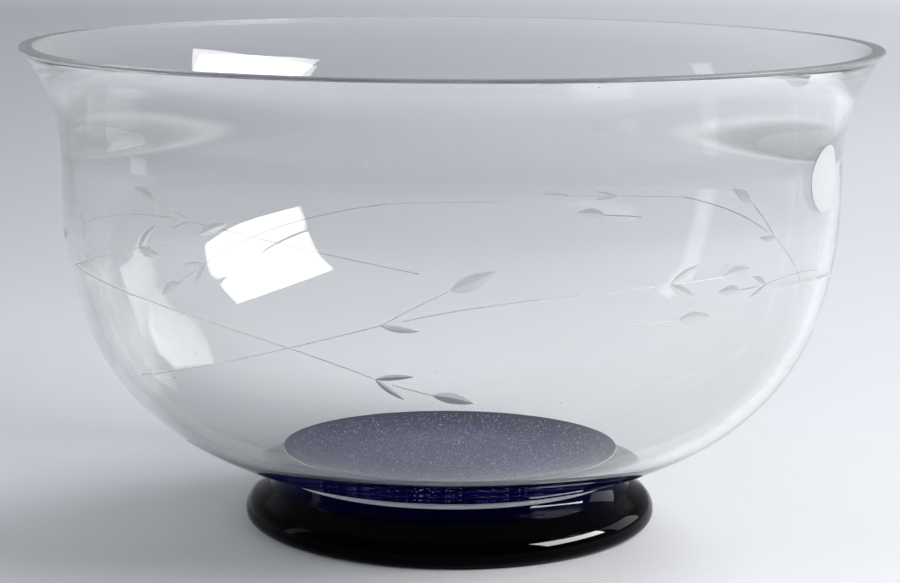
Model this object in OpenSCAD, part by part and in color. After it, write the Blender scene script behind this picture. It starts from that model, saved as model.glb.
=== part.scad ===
// Footed glass bowl with a flared lip: a clear bowl fused to a dark blue foot, and a paper label.
// All sizes are in millimetres. The origin is the middle of the foot, on the table, and +Z is up.
// The front of the bowl faces -Y.

/* [Bowl] */
// Outside diameter of the flared lip
rim_d = 254; // [236:1:280]
// Height of the lip above the table
total_h = 144.4; // [140:0.2:170]
// Distance that the lip stands out past the upright band below the flare
flare_out = 11.5; // [8:0.1:16]
// Radius of the hollow curve of the flare, on its outer face
flare_r = 50; // [42:1:60]
// Height of the upright band between the flare and the side
band_h = 10.8; // [6:0.2:16]
// Radius of the long curve of the side
side_r = 113; // [95:1:135]
// Radius of the tighter curve of the shoulder
shoulder_r = 67; // [60:1:73]
// Radius of the shallow curve of the base
base_r = 110; // [100:1:122]
// Diameter of the flat middle of the base
base_flat_d = 48; // [42:1:54]

/* [Glass] */
// Thickness of the wall from the flare to the shoulder
wall_t = 3.4; // [2.6:0.1:4]
// Width of the flat lip
lip_w = 4; // [3.4:0.1:5]
// Radius of the lip's two edges
lip_edge_r = 0.5; // [0.3:0.1:1.2]
// Radius of the hollow curve of the flare, on its inner face
flare_in_r = 35.5; // [30:0.5:44]
// Radius of the shallow curve between the floor and the shoulder, inside
floor_r = 110; // [104:1:124]
// Diameter of the flat middle of the floor
floor_flat_d = 48; // [44:1:58]

/* [Foot] */
// Largest diameter of the foot
foot_d = 124.2; // [120:0.2:130]
// Height of the bowl's base above the table
base_z = 13; // [11.6:0.1:18]
// Radius of the lower edge of the foot
edge_low_r = 3.6; // [2:0.1:4.4]
// Radius of the upper edge of the foot
edge_top_r = 6; // [5:0.1:7]
// Slope of the foot's top from its edge up to the crease
top_slope = 30; // [20:1:36]
// Diameter of the crease between the foot's top and its neck
crease_d = 109.2; // [107:0.2:113]
// Diameter of the neck where it meets the bowl
neck_d = 104; // [100:0.2:106]
// Radius of the neck's hollow curve
cove_r = 12; // [8:0.5:30]
// Diameter of the hollow under the foot
hollow_d = 92; // [60:1:108]
// Depth of the hollow under the foot
hollow_depth = 3; // [1:0.1:6]

/* [Label] */
// Width of the oval label
label_w = 22; // [20:0.5:28]
// Height of the oval label
label_h = 19; // [17:0.5:21]
// Radius of the label's two ends
label_end_r = 8; // [6:0.1:8.4]
// Thickness of the label's paper
label_t = 0.12; // [0.08:0.01:0.3]
// Room for the glue between the label and the glass
glue_t = 0.08; // [0.06:0.01:0.2]
// Distance of the label's middle below the top of the lip
label_drop = 33.6; // [26:0.2:40]
// Direction that the label faces, counted from the bowl's right side towards its back
label_turn = -25.5; // [-180:0.5:180]

/* [Hidden] */
$fn = 180;

// Shapes reach past what they cut by this much, and turn past what they join by this angle
reach = 8;
overlap = 5;
// The shoulder, the bottom curves and the lip's edges stand this much proud, so that they meet what they join
// without a step
blend = 0.002;

// Lip and flare: each edge of the lip is tangent to its flat top and to one face of the flare
rim_r = rim_d / 2;
band_r = rim_r - flare_out;
lip_round_r = lip_edge_r + blend;
lip_z = total_h - lip_round_r;
lip_c = rim_r - lip_round_r;
lip_in_c = rim_r - lip_w + lip_round_r;
flare_c = band_r + flare_r;
flare_z = lip_z - sqrt(pow(flare_r + lip_edge_r, 2) - pow(flare_c - lip_c, 2));
flare_in_c = band_r - wall_t + flare_in_r;
flare_in_z = lip_z - sqrt(pow(flare_in_r - lip_edge_r, 2) - pow(flare_in_c - lip_in_c, 2));
lip_slope = (lip_z - flare_in_z) / (flare_in_c - lip_in_c);
wall_top = total_h + lip_w;

// Centres of the side and the base. The shoulder is tangent to both curves, so that its centre is a known
// distance from each of theirs
side_c = band_r - side_r;
side_z = flare_z - band_h;
base_c = base_flat_d / 2;
base_top = base_z + base_r;
side_gap = side_r - shoulder_r;
base_gap = base_r - shoulder_r;
apart_r = base_c - side_c;
apart_z = base_top - side_z;
apart = norm([apart_r, apart_z]);
along = (pow(side_gap, 2) - pow(base_gap, 2) + pow(apart, 2)) / (2 * apart);
aside = sqrt(pow(side_gap, 2) - pow(along, 2));
shoulder_c = side_c + (along * apart_r + aside * apart_z) / apart;
shoulder_z = side_z + (along * apart_z - aside * apart_r) / apart;
side_turn = atan2(side_z - shoulder_z, shoulder_c - side_c);

// The floor's curve is tangent to the flat floor and to the inside of the shoulder
floor_c = floor_flat_d / 2;
floor_gap = floor_r - shoulder_r + wall_t;
floor_z = shoulder_z + sqrt(pow(floor_gap, 2) - pow(shoulder_c - floor_c, 2)) - floor_r;

// Distance of the label's outer face from the glass
label_out = glue_t + label_t;

// Each flare as its centre's radius, its centre's height and its own radius
flare_curve = [flare_c, flare_z, flare_r];
flare_in_curve = [flare_in_c, flare_in_z, flare_in_r];
glue_flare = [flare_c, flare_z, flare_r - glue_t];
label_flare = [flare_c, flare_z, flare_r - label_out];

// Each bottom curve as its centre's radius, its own radius and its lowest height
base_curve = [base_c, base_r, base_z];
floor_curve = [floor_c, floor_r, floor_z];
glue_curve = [base_c, base_r + glue_t, base_z - glue_t];
label_curve = [base_c, base_r + label_out, base_z - label_out];

// Edge, top, crease and neck of the foot
foot_r = foot_d / 2;
crease_r = crease_d / 2;
neck_r = neck_d / 2;
edge_low_c = foot_r - edge_low_r;
edge_top_c = foot_r - edge_top_r;
top_r = edge_top_c + edge_top_r * sin(top_slope);
top_z = edge_low_r + edge_top_r * cos(top_slope);
crease_z = top_z + (top_r - crease_r) * tan(top_slope);
neck_z = base_top - sqrt(pow(base_r, 2) - pow(neck_r - base_c, 2));
neck_in = crease_r - neck_r;
neck_rise = neck_z - crease_z;
neck_chord = norm([neck_in, neck_rise]);
cove_out = sqrt(pow(cove_r, 2) - pow(neck_chord / 2, 2)) / neck_chord;
cove_c = (neck_r + crease_r) / 2 + cove_out * neck_rise;
cove_z = (neck_z + crease_z) / 2 + cove_out * neck_in;
hollow_r = (pow(hollow_d / 2, 2) + pow(hollow_depth, 2)) / (2 * hollow_depth);

// The label's flatter sides are tangent to its round ends
label_end_c = label_w / 2 - label_end_r;
label_half_h = label_h / 2;
label_z = total_h - label_drop;
label_side_r = (pow(label_end_c, 2) + pow(label_half_h, 2) - pow(label_end_r, 2))
    / (2 * (label_half_h - label_end_r));
label_side_c = label_side_r - label_half_h;
label_join = label_end_c * label_side_r / (label_side_r - label_end_r);

// Part of a disc between two directions from its centre, counted from +X and under 180 degrees apart
module pie(centre, r, from, to) {
    far = 2 * r;
    middle = (from + to) / 2;
    translate(centre)
        intersection() {
            circle(r);
            polygon([
                [0, 0],
                far * [cos(from), sin(from)],
                far * [cos(middle), sin(middle)],
                far * [cos(to), sin(to)]
            ]);
        }
}

// Half section of the space within one face of the wall, up to top, where grow is how far the face stands out
// from the bowl's outer face, and bottom and flare are its curves at both ends
module within(grow, bottom, flare, top) {
    bottom_z = bottom[2] + bottom[1];
    join = atan2(shoulder_z - bottom_z, shoulder_c - bottom[0]);
    intersection() {
        // Right side of the axis
        square([flare_c + reach, top]);
        union() {
            // Flat middle, bottom curve, shoulder and side
            translate([0, bottom[2] + blend])
                square([bottom[0], side_z - bottom[2]]);
            pie([bottom[0], bottom_z], bottom[1], -90 - overlap, join);
            translate([shoulder_c, shoulder_z])
                circle(shoulder_r + grow + blend);
            pie([side_c, side_z], side_r + grow, -side_turn, overlap);
            // Upright band and flare
            translate([0, side_z])
                square([band_r + grow, top - side_z]);
            difference() {
                translate([0, flare[1]])
                    square([flare[0], top - flare[1]]);
                translate([flare[0], flare[1]])
                    circle(flare[2]);
            }
        }
    }
}

// Half section of the foot before the bowl and the hollow are taken out of it
module foot_outline() {
    translate([edge_low_c, edge_low_r])
        circle(edge_low_r);
    pie([edge_top_c, edge_low_r], edge_top_r, 0, 90);
    polygon([
        [0, 0],
        [edge_low_c, 0],
        [edge_low_c, edge_low_r],
        [top_r, top_z],
        [neck_r, crease_z + neck_in * tan(top_slope)],
        [0, crease_z]
    ]);
    // Neck, hollowed from the crease up to the bowl
    difference() {
        translate([0, edge_low_r])
            square([(crease_r + top_r) / 2, neck_z - edge_low_r + reach]);
        translate([cove_c, cove_z])
            circle(cove_r);
    }
}

// Outline of the label, laid flat
module label_outline() {
    for (side = [-1, 1])
        translate([side * label_end_c, 0])
            circle(label_end_r);
    intersection() {
        translate([0, -label_side_c])
            circle(label_side_r);
        translate([0, label_side_c])
            circle(label_side_r);
        square([2 * label_join, label_h], center = true);
    }
}

// Clear glass bowl: one wall from the thick floor to the flat lip
module bowl() {
    color("lightcyan", 0.35)
        rotate_extrude() {
            intersection() {
                difference() {
                    within(0, base_curve, flare_curve, wall_top);
                    within(-wall_t, floor_curve, flare_in_curve, wall_top + reach);
                }
                // Everything below the middles of the lip's edges and the points where the flare meets them
                polygon([
                    [0, 0],
                    [flare_c, 0],
                    [flare_c, flare_z],
                    [lip_c, lip_z],
                    [lip_in_c, lip_z],
                    [0, flare_in_z + flare_in_c * lip_slope]
                ]);
            }
            // Flat lip between its two round edges
            for (edge = [lip_in_c, lip_c])
                translate([edge, lip_z])
                    circle(lip_round_r);
            translate([lip_in_c, lip_z - lip_round_r])
                square([lip_c - lip_in_c, 2 * lip_round_r]);
        }
}

// Dark blue glass foot, seated against the bowl's base and hollowed underneath
module foot() {
    color("midnightblue")
        rotate_extrude()
            difference() {
                foot_outline();
                within(0, base_curve, flare_curve, wall_top);
                translate([0, hollow_depth - hollow_r])
                    circle(hollow_r);
            }
}

// Oval paper label, glued flat on the bowl's outer face
module paper_label() {
    color("white")
        intersection() {
            rotate_extrude()
                difference() {
                    within(label_out, label_curve, label_flare, wall_top);
                    within(glue_t, glue_curve, glue_flare, wall_top + reach);
                }
            rotate([0, 0, label_turn])
                translate([0, 0, label_z])
                    rotate([90, 0, 90])
                        linear_extrude(height = rim_d)
                            label_outline();
        }
}

bowl();
foot();
paper_label();
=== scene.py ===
"""Clear glass bowl with a flared lip and wheel-cut leaf sprays, fused to a dark blue glass foot."""

import math
import random

import bpy
from bpy.props import FloatProperty, FloatVectorProperty, IntProperty, PointerProperty
from mathutils import Matrix, Vector
from mathutils.geometry import delaunay_2d_cdt


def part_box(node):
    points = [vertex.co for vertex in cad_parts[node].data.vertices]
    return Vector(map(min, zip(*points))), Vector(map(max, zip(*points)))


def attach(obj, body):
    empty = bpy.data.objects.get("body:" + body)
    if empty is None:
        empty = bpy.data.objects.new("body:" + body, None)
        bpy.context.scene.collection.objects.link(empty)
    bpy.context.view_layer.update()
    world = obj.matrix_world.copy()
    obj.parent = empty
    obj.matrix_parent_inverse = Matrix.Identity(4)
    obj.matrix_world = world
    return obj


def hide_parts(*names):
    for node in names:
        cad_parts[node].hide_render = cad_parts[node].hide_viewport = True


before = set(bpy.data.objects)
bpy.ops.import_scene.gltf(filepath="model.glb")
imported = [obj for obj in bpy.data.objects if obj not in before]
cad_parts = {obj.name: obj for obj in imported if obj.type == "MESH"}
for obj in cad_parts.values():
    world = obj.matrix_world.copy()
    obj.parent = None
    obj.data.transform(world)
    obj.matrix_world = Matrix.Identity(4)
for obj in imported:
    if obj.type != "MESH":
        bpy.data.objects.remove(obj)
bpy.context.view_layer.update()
BOWL_LOW, BOWL_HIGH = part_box("bowl")
FOOT_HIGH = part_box("foot")[1]
MM = 0.001

bl_info = {
    "name": "Footed Glass Bowl",
    "version": (1, 0, 0),
    "blender": (4, 5, 0),
    "location": "View3D > Sidebar > Bowl",
    "description": "Builds a cut glass bowl on a blue foot, its label and a studio round it",
    "category": "Add Mesh",
}

QUARTER = math.pi / 2
# Steps between the rings of the bowl, of its lip and of the foot
BOWL_STEP, LIP_STEP, FOOT_STEP = 3 * MM, 0.2 * MM, 0.9 * MM
# Index of refraction of the clear glass
CLEAR_IOR = 1.52
# Shares of the light that pass through the wheel cuts of a leaf and of a stem
LEAF_THROUGH, STEM_THROUGH = 0.92, 0.5
# Radius at which painted shade starts to darken the seat's blue towards the neck, and the shares of its
# red, green and blue that the painted shade leaves there
SEAT_SHADE_START, SEAT_SHADE_SHARES = 30 * MM, (0.15, 0.15, 0.5)
# Heights between which the neck of the foot gains its painted blue glow, for light that comes through it
GLOW_LOW, GLOW_HIGH = 10.5 * MM, 15 * MM
# Points of a section within this distance are one, runs under this length are left out, and so are faces
# whose edges span less than this area, all in metres
SAME_SPOT, NO_RUN, SLIVER = 1e-7, 1e-9, 1e-14
# Times that the search for a height along a face halves its span
HALVINGS = 60
# How the inner flare tightens towards the lip: with 1 it would be a plain arc
FLARE_EASE = 1.2
# Millimetres on the unrolled side: the room that plain points leave round a cut, the least depth of a face
# that counts as cut, the distance within which a point lies on an edge, and the one that joins two points
CUT_CLEARANCE, CUT_LEAST, ON_EDGE, JOIN = 1.1, 0.003, 0.001, 0.0001
# Sway of a leaf as a share of its length, and the share of a stem over which its direction is taken
LEAF_SWAY, STEM_STEP = 0.10, 0.02
# Start of the random draws for the bubbles, the share of the neck's radius that holds them, and the least
# height of a bubble's middle over the seat as a share of its radius
RANDOM_START, SEED_REACH, SEED_LIFT = 7, 0.96, 1.2

# Half the width of the table, and the distances between which its far end starts to glow, in metres
TABLE_REACH, FAR_FADE = 14.0, (2.4, 3.6)
# Parts of a direction of length 1: the heights of the room's low and middle light, and the depths between
# which the room goes from its front's share of the light to all of it
ROOM_LOW, ROOM_MIDDLE = 0.2, 0.5
ROOM_FRONT, ROOM_REAR = -0.7, 0.2
# Colours of the lights, and the angle over which the softbox spreads its light
WARM, COOL = (1.0, 0.99, 0.98), (0.94, 0.97, 1.0)
KEY_SPREAD = math.radians(100)
# Each light as its place, the point that it faces, its width and its height, in metres
BOWL_MIDDLE = (0.0, 0.0, 0.09)
LIGHTS = {
    "key_softbox": ((0.82, -0.21, 0.53), BOWL_MIDDLE, 0.72, 0.42),
    "far_table": ((1.4, 2.3, 1.9), (0.45, 2.7, 0.0), 1.4, 1.4),
    "left_table": ((-0.45, -0.32, 0.30), (-0.12, -0.10, 0.0), 0.3, 0.3),
    "rear_table": ((0.85, 0.75, 0.9), (0.32, 0.6, 0.0), 0.6, 0.6),
    "left_strip": ((-0.9, 0.1, 0.35), (0.0, 0.0, 0.1), 0.12, 0.6),
    "foot_glint": ((0.80, -0.205, 0.52), BOWL_MIDDLE, 0.70, 0.41),
    "foot_sheen": ((0.75, 0.38, 0.5), BOWL_MIDDLE, 0.45, 0.8),
}

# Each stem of one spray as its curve's four points: degrees round the bowl and millimetres of height
STEMS = {
    "rising": ((-41.0, 56.5), (-27.0, 61.5), (-11.0, 71.3), (3.8, 79.9)),
    "upper": ((3.8, 79.9), (6.5, 83.0), (9.7, 86.5), (12.9, 89.6)),
    "far": ((6.8, 81.2), (18.0, 87.2), (32.0, 88.6), (52.0, 89.4)),
    "falling": ((-57.0, 83.5), (-38.0, 82.0), (-15.0, 78.5), (2.7, 65.0)),
    "tail": ((5.0, 63.6), (6.8, 62.6), (8.6, 61.7), (10.5, 60.8)),
    "short": ((37.6, 79.4), (40.0, 79.3), (42.5, 79.1), (44.9, 78.9)),
}
# Leaves as their stem, their place along it, their turn from it in degrees, and their shares of full length
# and width
LEAVES = (
    ("rising", 1.00, -24.0, 0.84, 0.52),
    ("upper", 1.00, -2.0, 1.00, 1.20),
    ("far", 0.84, 25.0, 0.84, 0.56),
    ("far", 0.84, -26.0, 0.76, 0.76),
    ("far", 1.00, 6.0, 0.82, 0.94),
    ("falling", 1.00, 27.0, 0.88, 0.52),
    ("falling", 1.00, -16.0, 0.82, 0.50),
    ("tail", 1.00, 2.0, 0.96, 0.98),
    ("short", 1.00, 3.0, 0.88, 0.94),
)
# Stem and leaves that only the spray in front has
FRONT_STEMS = {"branch": ((-57.0, 83.3), (-45.3, 89.0), (-33.6, 94.8), (-21.9, 100.6))}
FRONT_LEAVES = (
    ("branch", 0.66, 27.0, 0.88, 0.62),
    ("branch", 0.66, -22.0, 0.74, 0.80),
    ("branch", 1.00, 8.0, 0.80, 0.80),
)


class BowlSizes(bpy.types.PropertyGroup):
    """Sizes of the clear bowl's section"""

    rim_radius: FloatProperty(
        name="Rim Radius", description="Outside radius of the lip",
        default=BOWL_HIGH.x, unit="LENGTH")
    height: FloatProperty(
        name="Height", description="Top of the lip above the table",
        default=BOWL_HIGH.z, unit="LENGTH")
    base_height: FloatProperty(
        name="Base Height", description="Underside of the bowl above the table",
        default=BOWL_LOW.z, unit="LENGTH")
    flare_out: FloatProperty(
        name="Flare Overhang", description="How far the lip stands out past the upright band",
        default=11.5 * MM, unit="LENGTH")
    flare_radius: FloatProperty(
        name="Flare Radius", description="Hollow curve of the flare, on the outside",
        default=50 * MM, unit="LENGTH")
    flare_in_radius: FloatProperty(
        name="Inner Flare Radius",
        description="Hollow curve of the flare on the inside, before its start is eased",
        default=35.5 * MM, unit="LENGTH")
    band_height: FloatProperty(
        name="Band Height", description="Height of the upright band between the flare and the side",
        default=10.8 * MM, unit="LENGTH")
    side_radius: FloatProperty(
        name="Side Radius", description="Long curve of the side", default=113 * MM, unit="LENGTH")
    shoulder_radius: FloatProperty(
        name="Shoulder Radius", description="Tighter curve of the shoulder",
        default=67 * MM, unit="LENGTH")
    base_radius: FloatProperty(
        name="Base Radius", description="Shallow curve of the underside",
        default=110 * MM, unit="LENGTH")
    base_flat: FloatProperty(
        name="Base Flat", description="Radius of the flat middle of the underside",
        default=24 * MM, unit="LENGTH")
    wall: FloatProperty(
        name="Wall", description="Thickness of the wall", default=3.4 * MM, unit="LENGTH")
    lip_width: FloatProperty(
        name="Lip Width", description="Width of the flat lip", default=4 * MM, unit="LENGTH")
    lip_edge: FloatProperty(
        name="Lip Edge", description="Radius of the lip's two edges", default=0.5 * MM, unit="LENGTH")
    floor_radius: FloatProperty(
        name="Floor Radius", description="Shallow curve of the floor, inside",
        default=110 * MM, unit="LENGTH")
    floor_flat: FloatProperty(
        name="Floor Flat", description="Radius of the flat middle of the floor",
        default=24 * MM, unit="LENGTH")
    segments: IntProperty(
        name="Segments", description="Faces round the glass, a multiple of the sprays",
        default=264, min=33)


class SpraySizes(bpy.types.PropertyGroup):
    """Sizes of the wheel-cut leaf sprays"""

    repeats: IntProperty(name="Repeats", description="Sprays round the bowl", default=3, min=1)
    turn: FloatProperty(
        name="Turn", description="Turn of the sprays from the front", default=math.radians(-13),
        subtype="ANGLE")
    low: FloatProperty(
        name="Lowest", description="Lower edge of the band that holds the sprays",
        default=48 * MM, unit="LENGTH")
    high: FloatProperty(
        name="Highest", description="Upper edge of the band that holds the sprays",
        default=110 * MM, unit="LENGTH")
    leaf_length: FloatProperty(
        name="Leaf Length", description="Length of a full leaf", default=12.4 * MM, unit="LENGTH")
    leaf_width: FloatProperty(
        name="Leaf Width", description="Width of a full leaf", default=3.5 * MM, unit="LENGTH")
    leaf_depth: FloatProperty(
        name="Leaf Depth", description="Depth of a leaf's cut along its midrib",
        default=0.34 * MM, unit="LENGTH")
    stem_width: FloatProperty(
        name="Stem Width", description="Width of a stem's cut", default=0.42 * MM, unit="LENGTH")
    stem_depth: FloatProperty(
        name="Stem Depth", description="Depth of a stem's cut", default=0.07 * MM, unit="LENGTH")
    spacing: FloatProperty(
        name="Spacing", description="Spacing of the plain glass's points between the cuts",
        default=4.4 * MM, unit="LENGTH")


class SeedSizes(bpy.types.PropertyGroup):
    """Sizes of the tiny bubbles in the floor, over the foot"""

    count: IntProperty(name="Count", description="Number of bubbles", default=3200, min=0)
    smallest: FloatProperty(
        name="Smallest", description="Radius of the smallest bubble", default=0.11 * MM, unit="LENGTH")
    largest: FloatProperty(
        name="Largest", description="Radius of the largest bubble", default=0.23 * MM, unit="LENGTH")
    depth: FloatProperty(
        name="Depth", description="Largest height of a bubble over the seat",
        default=0.8 * MM, unit="LENGTH")


class FootSizes(bpy.types.PropertyGroup):
    """Sizes of the blue foot's section"""

    radius: FloatProperty(
        name="Radius", description="Largest radius of the foot", default=FOOT_HIGH.x, unit="LENGTH")
    edge_low: FloatProperty(
        name="Lower Edge", description="Radius of the lower edge", default=3.6 * MM, unit="LENGTH")
    edge_top: FloatProperty(
        name="Upper Edge", description="Radius of the upper edge", default=6 * MM, unit="LENGTH")
    top_slope: FloatProperty(
        name="Top Slope", description="Slope of the top up to the crease",
        default=math.radians(30), subtype="ANGLE")
    crease: FloatProperty(
        name="Crease", description="Radius of the crease under the neck", default=54.6 * MM, unit="LENGTH")
    neck: FloatProperty(
        name="Neck", description="Radius of the neck where it meets the bowl",
        default=52 * MM, unit="LENGTH")
    cove: FloatProperty(
        name="Cove", description="Radius of the neck's hollow curve", default=12 * MM, unit="LENGTH")
    hollow: FloatProperty(
        name="Hollow", description="Radius of the hollow underneath", default=46 * MM, unit="LENGTH")
    hollow_depth: FloatProperty(
        name="Hollow Depth", description="Depth of the hollow underneath", default=3 * MM, unit="LENGTH")
    # The pale seam is painted light: a band of pale colour at the top of the neck
    seam: FloatProperty(
        name="Seam", description="Height of the pale seam at the top of the neck",
        default=1.0 * MM, unit="LENGTH")
    seat_gap: FloatProperty(
        name="Seat Gap", description="Room between the foot's seat and the bowl",
        default=0.05 * MM, unit="LENGTH")


class GlassLook(bpy.types.PropertyGroup):
    """Colours and finishes of the glass and the label"""

    clear: FloatVectorProperty(
        name="Clear Glass", description="Tint of the clear glass", subtype="COLOR", size=4,
        default=(0.970, 0.976, 0.976, 1.0), min=0.0, max=1.0)
    cut: FloatVectorProperty(
        name="Cut Glass", description="Colour of the grey cuts", subtype="COLOR", size=4,
        default=(0.82, 0.825, 0.84, 1.0), min=0.0, max=1.0)
    lip: FloatVectorProperty(
        name="Ground Lip", description="Colour of the ground lip in its hollows", subtype="COLOR", size=4,
        default=(0.40, 0.43, 0.45, 1.0), min=0.0, max=1.0)
    blue: FloatVectorProperty(
        name="Blue Glass", description="Colour of the foot where it is thick", subtype="COLOR", size=4,
        default=(0.0003, 0.0003, 0.001, 1.0), min=0.0, max=1.0)
    # Painted glow: this base colour stands in for light that comes through the neck
    glow: FloatVectorProperty(
        name="Blue Glow", description="Colour of the foot's neck, where light comes through",
        subtype="COLOR", size=4, default=(0.0004, 0.0006, 0.026, 1.0), min=0.0, max=1.0)
    # Colour of the seam's band of painted light
    seam: FloatVectorProperty(
        name="Seam", description="Colour of the pale seam between the bowl and the foot",
        subtype="COLOR", size=4, default=(0.78, 0.79, 0.84, 1.0), min=0.0, max=1.0)
    # Painted light: this blue is far lighter than the foot's own, for the light that comes through the seat
    seat: FloatVectorProperty(
        name="Seat", description="Blue of the foot seen through the floor", subtype="COLOR", size=4,
        default=(0.035, 0.033, 0.34, 1.0), min=0.0, max=1.0)
    # Also the colour of the bubbles' painted glow
    seed: FloatVectorProperty(
        name="Seeds", description="Colour of the tiny bubbles over the foot", subtype="COLOR", size=4,
        default=(0.74, 0.81, 1.0, 1.0), min=0.0, max=1.0)
    paper: FloatVectorProperty(
        name="Paper", description="Colour of the bare label", subtype="COLOR", size=4,
        default=(0.485, 0.495, 0.51, 1.0), min=0.0, max=1.0)


class StudioLook(bpy.types.PropertyGroup):
    """Camera, floor and lights"""

    lens: FloatProperty(
        name="Lens", description="Focal length on a 36 mm sensor", default=99.54, unit="CAMERA")
    camera_back: FloatProperty(
        name="Camera Distance", description="Camera in front of the bowl's axis",
        default=0.740, unit="LENGTH")
    camera_height: FloatProperty(
        name="Camera Height", description="Camera above the table", default=0.1982, unit="LENGTH")
    pitch: FloatProperty(
        name="Pitch", description="Camera's tilt below level", default=0.1722, subtype="ANGLE")
    roll: FloatProperty(name="Roll", description="Camera's roll", default=0.006, subtype="ANGLE")
    yaw: FloatProperty(
        name="Yaw", description="Camera's turn to the left", default=0.00036, subtype="ANGLE")
    floor: FloatVectorProperty(
        name="Floor", description="Colour of the table", subtype="COLOR", size=4,
        default=(0.74, 0.75, 0.78, 1.0), min=0.0, max=1.0)
    sky: FloatVectorProperty(
        name="Room", description="Colour of the light from all round", subtype="COLOR", size=4,
        default=(0.80, 0.83, 0.88, 1.0), min=0.0, max=1.0)
    sky_level: FloatProperty(
        name="Room Level", description="Strength of the room's light along the table",
        default=0.52, min=0.0)
    sky_low: FloatProperty(
        name="Room Low", description="Strength of the room's light a little above the table",
        default=0.37, min=0.0)
    sky_middle: FloatProperty(
        name="Room Middle", description="Strength of the room's light half way up", default=0.20, min=0.0)
    sky_high: FloatProperty(
        name="Room High", description="Strength of the room's light from overhead", default=0.36, min=0.0)
    sky_front: FloatProperty(
        name="Room Front", description="Share of the room's light that comes from behind the camera",
        default=0.2, min=0.0)
    key_power: FloatProperty(
        name="Key Power", description="Power of the softbox on the right", default=3.9, unit="POWER")
    far_glow: FloatProperty(
        name="Far Glow", description="Brightness that the table gains towards its far end",
        default=0.24, min=0.0)
    far_power: FloatProperty(
        name="Far Power", description="Power of the light on the far end of the table",
        default=43.0, unit="POWER")
    left_power: FloatProperty(
        name="Left Power", description="Power of the light on the table's left side",
        default=1.35, unit="POWER")
    rear_power: FloatProperty(
        name="Rear Power", description="Power of the light on the table behind the bowl",
        default=8.2, unit="POWER")
    strip_power: FloatProperty(
        name="Strip Power", description="Power of the upright strip that the bowl mirrors on its left",
        default=0.35, unit="POWER")
    glint_power: FloatProperty(
        name="Glint Power", description="Power of the softbox as the dark foot mirrors it",
        default=115.0, unit="POWER")
    sheen_power: FloatProperty(
        name="Sheen Power", description="Power of the dim panel that the foot mirrors on its right",
        default=5.0, unit="POWER")


class Curve:
    """One face of the glass in half section, made of lines and arcs laid end to end"""

    def __init__(self):
        self.parts = []
        self.length = 0.0

    def line(self, start, end, facing):
        """Straight run between two points, whose surface faces one way."""
        def place(share):
            r = start[0] + (end[0] - start[0]) * share
            z = start[1] + (end[1] - start[1]) * share
            return r, z, facing[0], facing[1]

        self._add(math.dist(start, end), place)

    def arc(self, centre, radius, start, end, facing=1.0):
        """Run round a centre between two angles, facing away from it, or towards it with -1."""
        def place(share):
            angle = start + (end - start) * share
            c, s = math.cos(angle), math.sin(angle)
            return centre[0] + radius * c, centre[1] + radius * s, facing * c, facing * s

        self._add(abs(end - start) * radius, place)

    def _add(self, length, place):
        self.parts.append((self.length, length, place))
        self.length += length

    def at(self, run):
        """Radius, height and facing at a distance along the face."""
        for begin, length, place in self.parts:
            if run <= begin + length:
                return place((run - begin) / length)
        return self.parts[-1][2](1.0)

    def run_at(self, height):
        """Distance along a rising face at a height."""
        low, high = 0.0, self.length
        for _ in range(HALVINGS):
            middle = (low + high) / 2
            if self.at(middle)[1] < height:
                low = middle
            else:
                high = middle
        return (low + high) / 2

    def stations(self, step, low=0.0, high=None):
        """Lists of points, one list for each part between two distances along the face."""
        high = self.length if high is None else high
        lists = []
        for begin, length, place in self.parts:
            first, last = max(low, begin), min(high, begin + length)
            if last - first > NO_RUN:
                count = max(1, math.ceil((last - first) / step))
                marks = [first + (last - first) * i / count for i in range(count + 1)]
                lists.append([place((mark - begin) / length) for mark in marks])
        return lists


class Shell:
    """Mesh of turned glass that keeps an exact normal for each corner of each face"""

    def __init__(self, segments, start):
        self.angles = [start + math.tau * k / segments for k in range(segments)]
        self.points = []
        self.faces = []
        self.normals = []
        self.finishes = []

    def ring(self, r, z):
        """Points of one ring, or the one point on the axis."""
        first = len(self.points)
        if r < SAME_SPOT:
            self.points.append((0.0, 0.0, z))
            return [first]
        self.points.extend((r * math.cos(a), r * math.sin(a), z) for a in self.angles)
        return list(range(first, len(self.points)))

    def face(self, corners, normals, finish):
        self.faces.append(corners)
        self.normals.extend(normals)
        self.finishes.append(finish)

    def band(self, one, one_facing, two, two_facing, finish):
        """Faces between two rings, the second one further along the section."""
        count = len(self.angles)
        for k in range(count):
            after = (k + 1) % count
            corners, normals = [], []
            for ring, facing, picks in ((one, one_facing, (k, after)), (two, two_facing, (after, k))):
                for pick in (picks if len(ring) > 1 else picks[:1]):
                    angle = self.angles[pick]
                    corners.append(ring[pick] if len(ring) > 1 else ring[0])
                    normals.append((facing[0] * math.cos(angle), facing[0] * math.sin(angle), facing[1]))
            self.face(corners, normals, finish)

    def turned(self, lists, finish, first=None):
        """Turns lists of section points and returns the first and last rings."""
        start = before = first
        spot = None
        for points in lists:
            for i, (r, z, nr, nz) in enumerate(points):
                if i == 0 and before is not None and (spot is None or math.dist(spot, (r, z)) < SAME_SPOT):
                    ring = before
                else:
                    ring = self.ring(r, z)
                if i > 0:
                    self.band(before, facing, ring, (nr, nz), finish)
                start = ring if start is None else start
                before, facing, spot = ring, (nr, nz), (r, z)
        return start, before

    def build(self, name, materials):
        """Makes the object, smooth all over, with the kept normals."""
        mesh = bpy.data.meshes.new(name)
        mesh.from_pydata(self.points, [], self.faces)
        for material in materials:
            mesh.materials.append(material)
        mesh.polygons.foreach_set("material_index", self.finishes)
        mesh.polygons.foreach_set("use_smooth", [True] * len(self.faces))
        mesh.update()
        mesh.normals_split_custom_set(self.normals)
        obj = bpy.data.objects.new(name, mesh)
        bpy.context.scene.collection.objects.link(obj)
        return obj


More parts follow.
